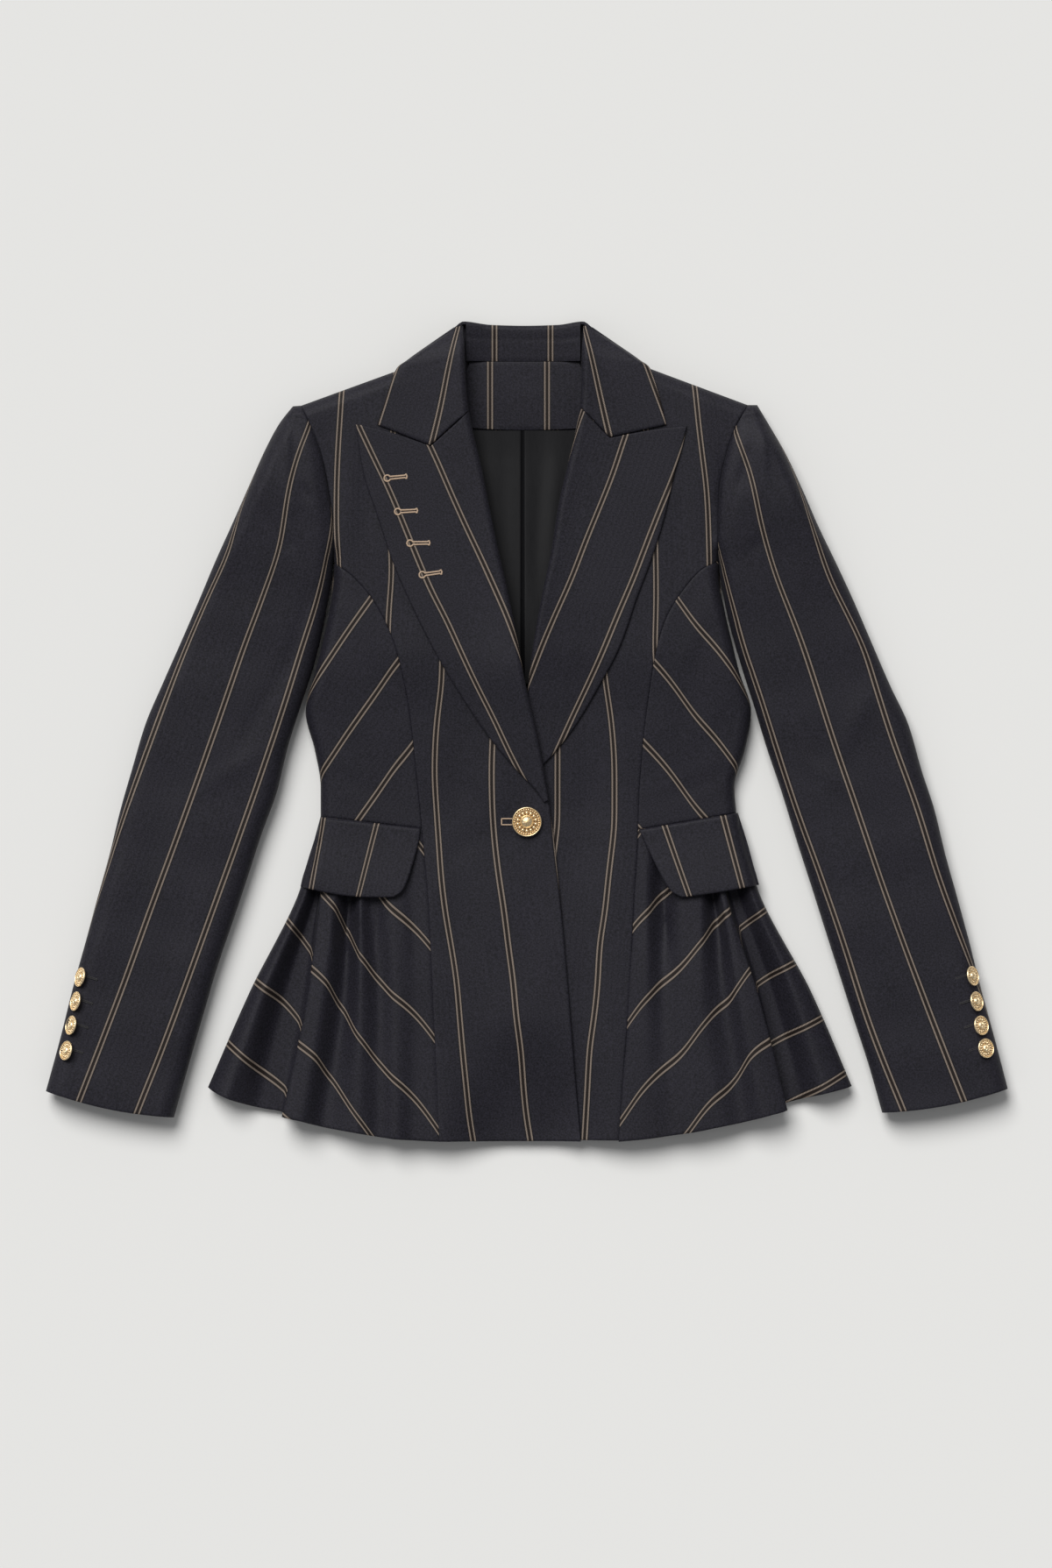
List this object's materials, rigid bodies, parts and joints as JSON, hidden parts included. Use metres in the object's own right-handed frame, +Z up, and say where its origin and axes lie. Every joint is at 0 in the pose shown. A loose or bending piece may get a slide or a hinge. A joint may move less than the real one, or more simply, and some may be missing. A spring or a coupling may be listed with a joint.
{
  "type": "fitted blazer",
  "caption": "Fitted pinstripe blazer laid flat: peak lapels, princess seams, flap pockets, flared peplum sides, satin lining, gold buttons.",
  "frame": {"origin": "on the surface that the blazer lies on, under the middle of its outline", "axes": "+X across, from the wearer's right cuff to the left one, +Y from hem to collar, +Z up off the surface"},
  "size_m": [0.802, 0.6839, 0.035],
  "materials": {
    "suiting": "matt worsted wool, dark charcoal navy with fine double pinstripes",
    "lining": "charcoal satin",
    "gold": "polished gold tone, darker in the hollows"
  },
  "bodies": {
    "root": {"front_right": "suiting", "front_left": "suiting", "side_front_right": "suiting", "side_front_left": "suiting", "peplum_right": "suiting", "peplum_left": "suiting", "flap_right": "suiting", "flap_left": "suiting", "lapel_right": "suiting", "lapel_left": "suiting", "collar_right": "suiting", "collar_left": "suiting", "collar_stand": "suiting", "collar_under": "suiting", "back_right": "suiting", "back_left": "suiting", "back_peplum_right": "suiting", "back_peplum_left": "suiting", "topsleeve_right": "suiting", "topsleeve_left": "suiting", "undersleeve_right": "suiting", "undersleeve_left": "suiting", "neck_facing": "suiting", "lining": "lining", "front_button": "gold", "cuff_button_right_1": "gold", "cuff_button_right_2": "gold", "cuff_button_right_3": "gold", "cuff_button_right_4": "gold", "cuff_button_left_1": "gold", "cuff_button_left_2": "gold", "cuff_button_left_3": "gold", "cuff_button_left_4": "gold"}
  },
  "joints": []
}
